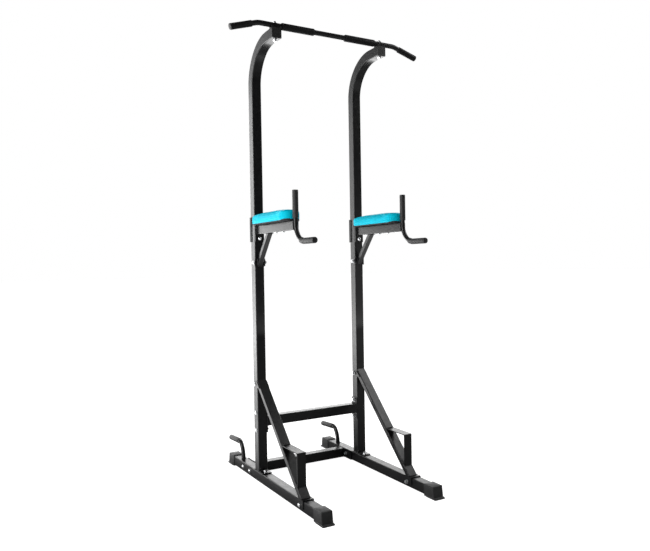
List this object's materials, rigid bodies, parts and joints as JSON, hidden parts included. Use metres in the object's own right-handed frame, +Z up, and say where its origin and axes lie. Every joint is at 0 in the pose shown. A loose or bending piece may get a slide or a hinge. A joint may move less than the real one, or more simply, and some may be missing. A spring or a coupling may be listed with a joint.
{
  "type": "power tower",
  "caption": "Free-standing gym tower with a cranked pull-up bar, padded dip arms with grips, push-up steps in front and push-up handles behind.",
  "frame": {"origin": "on the floor, at the middle of the whole footprint", "axes": "+X to the user's right hand when facing the tower's back, across the tower; -Y is the open side the user steps in from; +Z up"},
  "size_m": [1.0696, 1.1241, 2.277],
  "materials": {
    "frame": "black semi-gloss powder coat",
    "foot_rubber": "matt moulded",
    "grip_foam": "matt foam",
    "plug": "satin",
    "pad_vinyl": "soft satin vinyl",
    "pad_board": "matt backing",
    "fastener": "bright zinc"
  },
  "bodies": {
    "root": {"base_rail_left": "frame", "base_rail_right": "frame", "front_foot_left": "foot_rubber", "front_foot_right": "foot_rubber", "rear_foot_left": "foot_rubber", "rear_foot_right": "foot_rubber", "lower_crossbar": "frame", "upper_crossbar": "frame", "foot_plate_left": "frame", "foot_plate_right": "frame", "lower_upright_left": "frame", "lower_upright_right": "frame", "upper_upright_left": "frame", "upper_upright_right": "frame", "seam_sleeve_left": "frame", "seam_sleeve_right": "frame", "upright_plug_left": "plug", "upright_plug_right": "plug", "brace_left": "frame", "brace_right": "frame", "step_left": "frame", "step_right": "frame", "rear_handle_left": "frame", "rear_handle_right": "frame", "rear_grip_left": "grip_foam", "rear_grip_right": "grip_foam", "arm_left": "frame", "arm_right": "frame", "arm_clamp_left": "frame", "arm_clamp_right": "frame", "arm_strut_left": "frame", "arm_strut_right": "frame", "pad_board_left": "pad_board", "pad_board_right": "pad_board", "arm_pad_left": "pad_vinyl", "arm_pad_right": "pad_vinyl", "dip_handle_left": "frame", "dip_handle_right": "frame", "upright_grip_left": "grip_foam", "upright_grip_right": "grip_foam", "dip_grip_left": "grip_foam", "dip_grip_right": "grip_foam", "pull_up_bar": "frame", "bar_saddle_left": "frame", "bar_saddle_right": "frame", "inner_grip_left": "grip_foam", "inner_grip_right": "grip_foam", "outer_grip_left": "grip_foam", "outer_grip_right": "grip_foam", "handle_plugs": "plug", "crossbar_bolts": "fastener", "rail_bolts": "fastener", "foot_plate_bolts": "fastener", "brace_bolts": "fastener", "saddle_bolts": "fastener", "arm_bolts": "fastener", "strut_bolts": "fastener", "bar_bolts": "fastener", "pad_screws": "fastener"}
  },
  "joints": []
}
